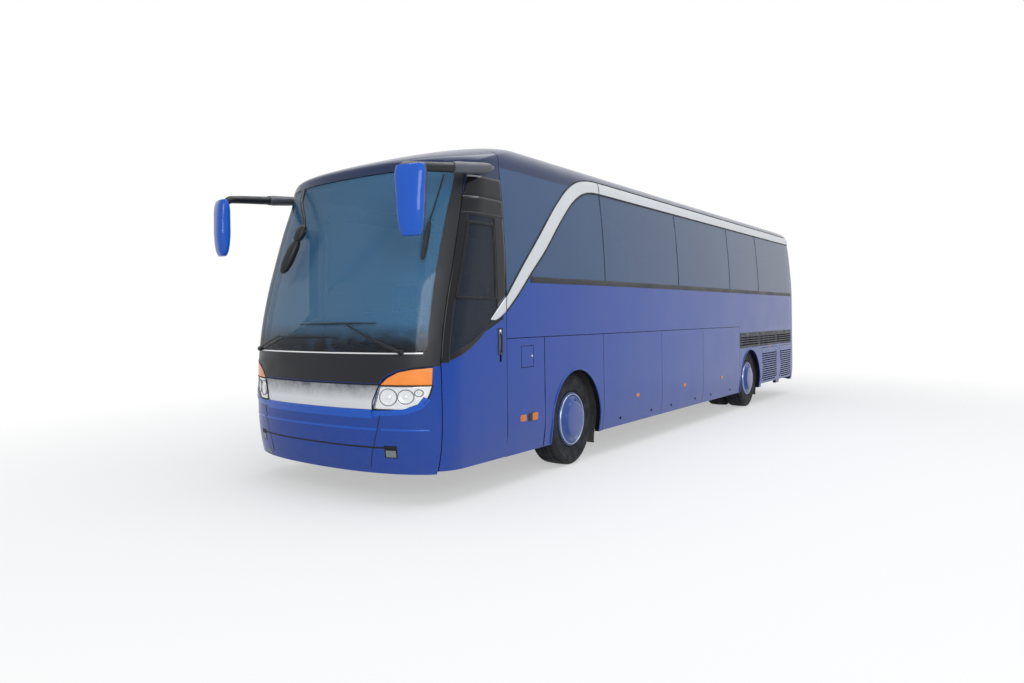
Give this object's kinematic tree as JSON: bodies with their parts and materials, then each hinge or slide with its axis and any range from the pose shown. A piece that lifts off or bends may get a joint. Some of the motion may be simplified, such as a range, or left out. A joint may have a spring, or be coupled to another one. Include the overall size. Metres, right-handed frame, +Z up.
{
  "type": "coach bus",
  "caption": "High-floor touring coach with bonded glass, luggage flaps, swinging passenger doors, steered front wheels and a rear engine.",
  "frame": {"origin": "on the ground under the middle of the whole vehicle's box, mirrors included", "axes": "+Z up, -Y the way it drives, +X its own left side"},
  "size_m": [2.799, 13.1635, 3.5599],
  "materials": {
    "blue_paint": "high gloss clear coat",
    "black_plastic": "satin",
    "dark_glass": "tinted, polished",
    "screen_glass": "clear with a faint green tint",
    "lamp_clear": "clear lens",
    "lamp_red": "ribbed lens",
    "silver": "satin",
    "dash_plastic": "grained",
    "seat_fabric": "woven",
    "seat_metal": "powder coat",
    "rack_plastic": "grained",
    "floor_mat": "ribbed",
    "frame_black": "chassis paint",
    "engine_metal": "cast",
    "tank_plastic": "moulded",
    "tyre_rubber": "matt",
    "rim_blue": "gloss"
  },
  "bodies": {
    "root": {"body_glass": "dark_glass", "cabin_floor": "floor_mat", "dashboard": "dash_plastic", "engine_block": "engine_metal", "front_axle_beam": "frame_black", "front_bumper": "blue_paint", "front_cap": "blue_paint", "front_lamps": "lamp_clear", "front_mask": "black_plastic", "fuel_tank": "tank_plastic", "left_side_wall": "blue_paint", "luggage_bays": "floor_mat", "luggage_racks": "rack_plastic", "mirror_arms": "black_plastic", "mirror_heads": "blue_paint", "rear_axle": "frame_black", "rear_bumper": "blue_paint", "rear_wall": "blue_paint", "right_side_wall": "blue_paint", "roof": "blue_paint", "seat_pads": "seat_fabric", "seat_stands": "seat_metal", "side_louvres": "blue_paint", "silver_trim": "silver", "tail_lamps": "lamp_red", "underframe": "frame_black", "wheel_liners": "black_plastic", "windscreen": "screen_glass", "wipers": "black_plastic"},
    "steer_left": {"knuckle_left": "frame_black"},
    "steer_right": {"knuckle_right": "frame_black"},
    "tie_rod": {"tie_rod": "frame_black"},
    "steering_wheel": {"steering_wheel": "dash_plastic"},
    "wheel_front_left": {"front_tyre_left": "tyre_rubber", "front_rim_left": "rim_blue"},
    "wheel_front_right": {"front_tyre_right": "tyre_rubber", "front_rim_right": "rim_blue"},
    "wheels_rear_left": {"rear_tyres_left": "tyre_rubber", "rear_rims_left": "rim_blue"},
    "wheels_rear_right": {"rear_tyres_right": "tyre_rubber", "rear_rims_right": "rim_blue"},
    "driver_door": {"driver_door": "blue_paint", "driver_door_glass": "dark_glass"},
    "front_door_arm": {"front_door_arm": "frame_black"},
    "front_door": {"front_door": "blue_paint", "front_door_glass": "dark_glass"},
    "mid_door_arm": {"mid_door_arm": "frame_black"},
    "mid_door": {"mid_door": "blue_paint", "mid_door_glass": "dark_glass"},
    "left_flap_1": {"left_flap_1": "blue_paint"},
    "left_flap_2": {"left_flap_2": "blue_paint"},
    "left_flap_3": {"left_flap_3": "blue_paint"},
    "right_flap_1": {"right_flap_1": "blue_paint"},
    "right_flap_2": {"right_flap_2": "blue_paint"},
    "engine_door_1": {"engine_door_1": "blue_paint"},
    "engine_door_2": {"engine_door_2": "blue_paint"},
    "engine_lid": {"engine_lid": "blue_paint"},
    "roof_hatch_1": {"roof_hatch_1": "blue_paint"},
    "roof_hatch_2": {"roof_hatch_2": "blue_paint"},
    "filler_flap": {"filler_flap": "blue_paint"}
  },
  "joints": [
    {"name": "steer_left", "type": "hinge", "parent": "root", "child": "steer_left", "pos_m": [0.95, -3.56, 0.512], "axis": [0, 0, 1], "range_deg": [-40, 40]},
    {"name": "steer_right", "type": "hinge", "parent": "root", "child": "steer_right", "pos_m": [-0.95, -3.56, 0.512], "axis": [0, 0, 1], "range_deg": [-40, 40]},
    {"name": "tie_rod_pin", "type": "hinge", "parent": "steer_left", "child": "tie_rod", "pos_m": [0.88, -3.33, 0.4134], "axis": [0, 0, 1], "range_deg": [-43, 43]},
    {"name": "steering_wheel", "type": "hinge", "parent": "root", "child": "steering_wheel", "pos_m": [0.64, -5.56, 1.68], "axis": [0, 0.4226, 0.9063], "range_deg": [-480, 480]},
    {"name": "wheel_front_left", "type": "hinge", "parent": "steer_left", "child": "wheel_front_left", "pos_m": [1.08, -3.56, 0.512], "axis": [1, 0, 0], "continuous": true},
    {"name": "wheel_front_right", "type": "hinge", "parent": "steer_right", "child": "wheel_front_right", "pos_m": [-1.08, -3.56, 0.512], "axis": [1, 0, 0], "continuous": true},
    {"name": "wheels_rear_left", "type": "hinge", "parent": "root", "child": "wheels_rear_left", "pos_m": [1.075, 3.35, 0.512], "axis": [1, 0, 0], "continuous": true},
    {"name": "wheels_rear_right", "type": "hinge", "parent": "root", "child": "wheels_rear_right", "pos_m": [-1.075, 3.35, 0.512], "axis": [1, 0, 0], "continuous": true},
    {"name": "driver_door", "type": "hinge", "parent": "root", "child": "driver_door", "pos_m": [1.221, -6.005, 1.5], "axis": [0, 0, -1], "range_deg": [0, 75]},
    {"name": "front_door_swing", "type": "hinge", "parent": "root", "child": "front_door_arm", "pos_m": [-1.12, -5.87, 1], "axis": [0, 0, 1], "range_deg": [0, 120]},
    {"name": "front_door_carry", "type": "hinge", "parent": "front_door_arm", "child": "front_door", "pos_m": [-1.12, -5.35, 1], "axis": [0, 0, 1], "range_deg": [-120, 0]},
    {"name": "mid_door_swing", "type": "hinge", "parent": "root", "child": "mid_door_arm", "pos_m": [-1.12, -0.02, 1], "axis": [0, 0, 1], "range_deg": [0, 120]},
    {"name": "mid_door_carry", "type": "hinge", "parent": "mid_door_arm", "child": "mid_door", "pos_m": [-1.12, 0.5, 1], "axis": [0, 0, 1], "range_deg": [-120, 0]},
    {"name": "left_flap_1", "type": "hinge", "parent": "root", "child": "left_flap_1", "pos_m": [1.275, -1.9145, 1.446], "axis": [0, -1, 0], "range_deg": [0, 90]},
    {"name": "left_flap_2", "type": "hinge", "parent": "root", "child": "left_flap_2", "pos_m": [1.275, -0.125, 1.446], "axis": [0, -1, 0], "range_deg": [0, 90]},
    {"name": "left_flap_3", "type": "hinge", "parent": "root", "child": "left_flap_3", "pos_m": [1.275, 1.696, 1.446], "axis": [0, -1, 0], "range_deg": [0, 90]},
    {"name": "right_flap_1", "type": "hinge", "parent": "root", "child": "right_flap_1", "pos_m": [-1.275, -1.9145, 1.446], "axis": [0, 1, 0], "range_deg": [0, 90]},
    {"name": "right_flap_2", "type": "hinge", "parent": "root", "child": "right_flap_2", "pos_m": [-1.275, 1.696, 1.446], "axis": [0, 1, 0], "range_deg": [0, 90]},
    {"name": "engine_door_1", "type": "hinge", "parent": "root", "child": "engine_door_1", "pos_m": [1.275, 4.64, 1.03], "axis": [0, -1, 0], "range_deg": [0, 80]},
    {"name": "engine_door_2", "type": "hinge", "parent": "root", "child": "engine_door_2", "pos_m": [1.275, 5.875, 1.03], "axis": [0, -1, 0], "range_deg": [0, 80]},
    {"name": "engine_lid", "type": "hinge", "parent": "root", "child": "engine_lid", "pos_m": [0, 6.588, 1.8], "axis": [1, 0, 0], "range_deg": [0, 75]},
    {"name": "roof_hatch_1", "type": "hinge", "parent": "root", "child": "roof_hatch_1", "pos_m": [0, -1.22, 3.53], "axis": [-1, 0, 0], "range_deg": [0, 60]},
    {"name": "roof_hatch_2", "type": "hinge", "parent": "root", "child": "roof_hatch_2", "pos_m": [0, 4.78, 3.53], "axis": [-1, 0, 0], "range_deg": [0, 60]},
    {"name": "filler_flap", "type": "hinge", "parent": "root", "child": "filler_flap", "pos_m": [1.275, -4.751, 1.26], "axis": [0, 0, -1], "range_deg": [0, 100]}
  ],
  "couplings": [
    {"joint": "steer_right", "follows": "steer_left", "ratio": 1},
    {"joint": "tie_rod_pin", "follows": "steer_left", "ratio": -1.072},
    {"joint": "steering_wheel", "follows": "steer_left", "ratio": 12},
    {"joint": "front_door_carry", "follows": "front_door_swing", "ratio": -1},
    {"joint": "mid_door_carry", "follows": "mid_door_swing", "ratio": -1}
  ]
}
